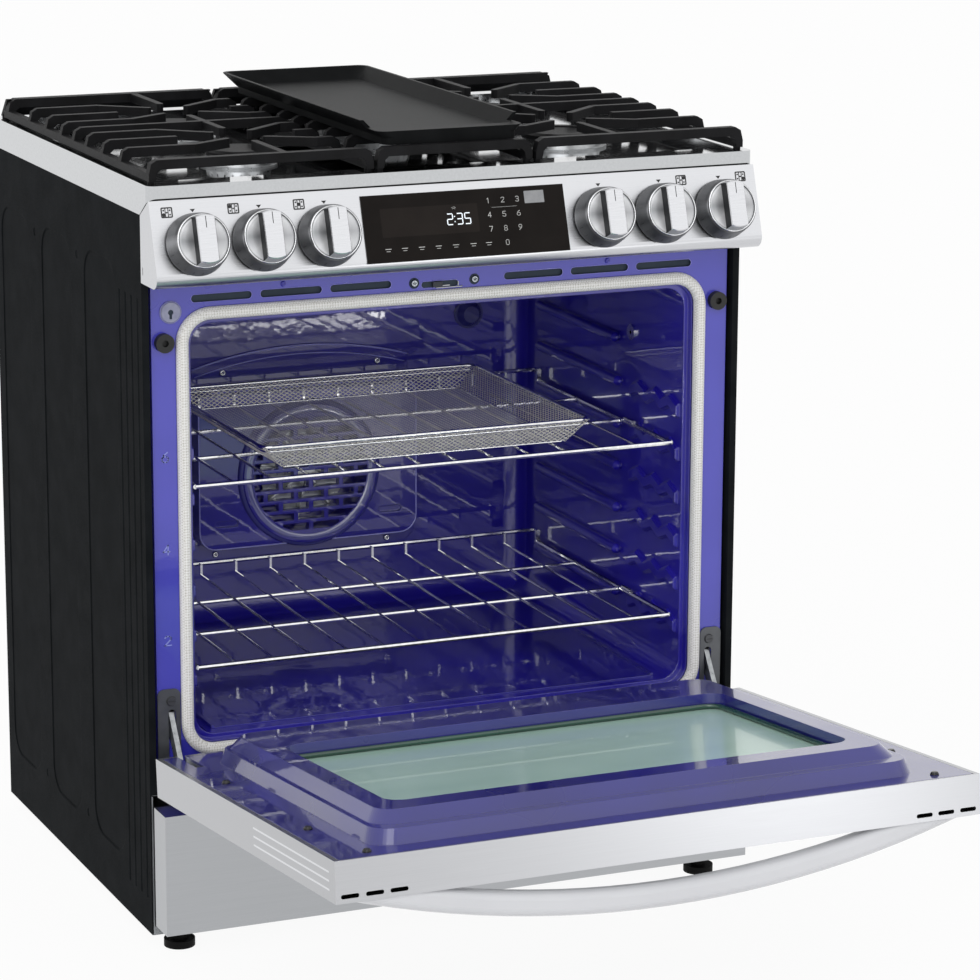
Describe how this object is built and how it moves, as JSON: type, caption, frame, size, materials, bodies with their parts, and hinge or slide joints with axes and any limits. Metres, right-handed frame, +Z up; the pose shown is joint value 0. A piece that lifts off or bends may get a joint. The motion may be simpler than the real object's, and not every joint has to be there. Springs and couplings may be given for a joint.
{
  "type": "gas range",
  "caption": "Freestanding gas range with an open drop-down oven door, wire racks, a mesh basket, storage drawer, cast grates, griddle and front knobs.",
  "frame": {"origin": "centre of the bounding box's bottom face, at floor level, with the oven door open", "axes": "+X to the right seen from the front, +Y from the front towards the back wall, +Z up"},
  "size_m": [0.759, 1.1949, 0.9661],
  "materials": {
    "aluminium": "satin",
    "black_screw": "gloss",
    "board_green": "satin",
    "brushed": "brushed",
    "cast_black": "matte",
    "enamel_blue": "gloss",
    "enamel_frame": "gloss",
    "galvanised": "satin",
    "gasket": "woven",
    "glass_black": "gloss",
    "glass_clear": "gloss",
    "glass_dark": "gloss",
    "knob_metal": "brushed",
    "polished": "polished",
    "rubber": "matte",
    "side_charcoal": "satin",
    "steel_grey": "brushed",
    "white_ceramic": "satin",
    "wire": "polished",
    "wool": "fibrous"
  },
  "bodies": {
    "root": {"side_panel_left": "side_charcoal", "side_panel_right": "side_charcoal", "rear_panel": "galvanised", "base_frame": "galvanised", "levelling_feet": "rubber", "front_frame": "enamel_frame", "oven_cavity": "enamel_blue", "oven_floor": "enamel_blue", "insulation_wrap": "wool", "fan_cover": "enamel_blue", "fan_motor": "steel_grey", "oven_lamp": "glass_clear", "temperature_sensor": "polished", "probe_socket": "polished", "broil_burner": "steel_grey", "bake_burner": "steel_grey", "door_gasket": "gasket", "door_latch": "polished", "frame_bumpers": "rubber", "frame_screws": "polished", "hinge_plates": "steel_grey", "hinge_arms": "polished", "control_panel": "brushed", "control_glass": "glass_black", "control_board": "board_green", "gas_manifold": "aluminium", "cooktop": "brushed", "burner_bases": "aluminium", "burner_caps": "cast_black", "igniters": "white_ceramic", "drawer_rails": "steel_grey", "stem_4": "polished"},
    "door": {"door_skin": "brushed", "door_liner": "enamel_blue", "door_glass_inner": "glass_dark", "door_glass_outer": "glass_clear", "door_handle": "polished", "door_hinge_channels": "steel_grey", "door_screws": "black_screw"},
    "drawer": {"drawer_front": "steel_grey", "drawer_box": "galvanised"},
    "rack_upper": {"rack_upper": "wire"},
    "rack_lower": {"rack_lower": "wire"},
    "basket": {"fry_basket": "wire"},
    "grate_left": {"grate_left": "cast_black"},
    "grate_center": {"grate_center": "cast_black"},
    "grate_right": {"grate_right": "cast_black"},
    "griddle": {"griddle": "cast_black"},
    "fan": {"fan_blade": "aluminium"},
    "knob_1": {"knob_1": "knob_metal"},
    "stem_1": {"stem_1": "polished"},
    "knob_2": {"knob_2": "knob_metal"},
    "stem_2": {"stem_2": "polished"},
    "knob_3": {"knob_3": "knob_metal"},
    "stem_3": {"stem_3": "polished"},
    "knob_4": {"knob_4": "knob_metal"},
    "knob_5": {"knob_5": "knob_metal"},
    "stem_5": {"stem_5": "polished"},
    "knob_6": {"knob_6": "knob_metal"},
    "stem_6": {"stem_6": "polished"}
  },
  "joints": [
    {"name": "door_hinge", "type": "hinge", "parent": "root", "child": "door", "pos_m": [0, -0.0269, 0.2122], "axis": [1, 0, 0], "range_deg": [-84.13, 0]},
    {"name": "drawer_slide", "type": "slide", "parent": "root", "child": "drawer", "axis": [0, -1, 0], "range_m": [0, 0.38]},
    {"name": "rack_upper_slide", "type": "slide", "parent": "root", "child": "rack_upper", "axis": [0, -1, 0], "range_m": [0, 0.3]},
    {"name": "rack_lower_slide", "type": "slide", "parent": "root", "child": "rack_lower", "axis": [0, -1, 0], "range_m": [0, 0.3]},
    {"name": "basket_lift", "type": "slide", "parent": "rack_upper", "child": "basket", "axis": [0, 0, 1], "range_m": [0, 0.06]},
    {"name": "grate_left_lift", "type": "slide", "parent": "root", "child": "grate_left", "axis": [0, 0, 1], "range_m": [0, 0.1]},
    {"name": "grate_center_lift", "type": "slide", "parent": "root", "child": "grate_center", "axis": [0, 0, 1], "range_m": [0, 0.1]},
    {"name": "grate_right_lift", "type": "slide", "parent": "root", "child": "grate_right", "axis": [0, 0, 1], "range_m": [0, 0.1]},
    {"name": "griddle_lift", "type": "slide", "parent": "grate_center", "child": "griddle", "axis": [0, 0, 1], "range_m": [0, 0.1]},
    {"name": "fan_spin", "type": "hinge", "parent": "root", "child": "fan", "pos_m": [0, 0.49, 0.4435], "axis": [0, 1, 0], "continuous": true},
    {"name": "push_1", "type": "slide", "parent": "root", "child": "stem_1", "axis": [0, 0.9492, -0.3147], "range_m": [0, 0.0025], "stiffness_N_per_m": 400},
    {"name": "turn_1", "type": "hinge", "parent": "stem_1", "child": "knob_1", "pos_m": [-0.3298, -0.03992, 0.84767], "axis": [0, -0.9492, 0.3147], "range_deg": [0, 260]},
    {"name": "push_2", "type": "slide", "parent": "root", "child": "stem_2", "axis": [0, 0.9492, -0.3147], "range_m": [0, 0.0025], "stiffness_N_per_m": 400},
    {"name": "turn_2", "type": "hinge", "parent": "stem_2", "child": "knob_2", "pos_m": [-0.251, -0.03992, 0.84767], "axis": [0, -0.9492, 0.3147], "range_deg": [0, 260]},
    {"name": "push_3", "type": "slide", "parent": "root", "child": "stem_3", "axis": [0, 0.9492, -0.3147], "range_m": [0, 0.0025], "stiffness_N_per_m": 400},
    {"name": "turn_3", "type": "hinge", "parent": "stem_3", "child": "knob_3", "pos_m": [-0.1722, -0.03992, 0.84767], "axis": [0, -0.9492, 0.3147], "range_deg": [0, 260]},
    {"name": "turn_4", "type": "hinge", "parent": "root", "child": "knob_4", "pos_m": [0.1722, -0.03992, 0.84767], "axis": [0, -0.9492, 0.3147], "range_deg": [-300, 0]},
    {"name": "push_5", "type": "slide", "parent": "root", "child": "stem_5", "axis": [0, 0.9492, -0.3147], "range_m": [0, 0.0025], "stiffness_N_per_m": 400},
    {"name": "turn_5", "type": "hinge", "parent": "stem_5", "child": "knob_5", "pos_m": [0.251, -0.03992, 0.84767], "axis": [0, -0.9492, 0.3147], "range_deg": [0, 260]},
    {"name": "push_6", "type": "slide", "parent": "root", "child": "stem_6", "axis": [0, 0.9492, -0.3147], "range_m": [0, 0.0025], "stiffness_N_per_m": 400},
    {"name": "turn_6", "type": "hinge", "parent": "stem_6", "child": "knob_6", "pos_m": [0.3298, -0.03992, 0.84767], "axis": [0, -0.9492, 0.3147], "range_deg": [0, 260]}
  ]
}
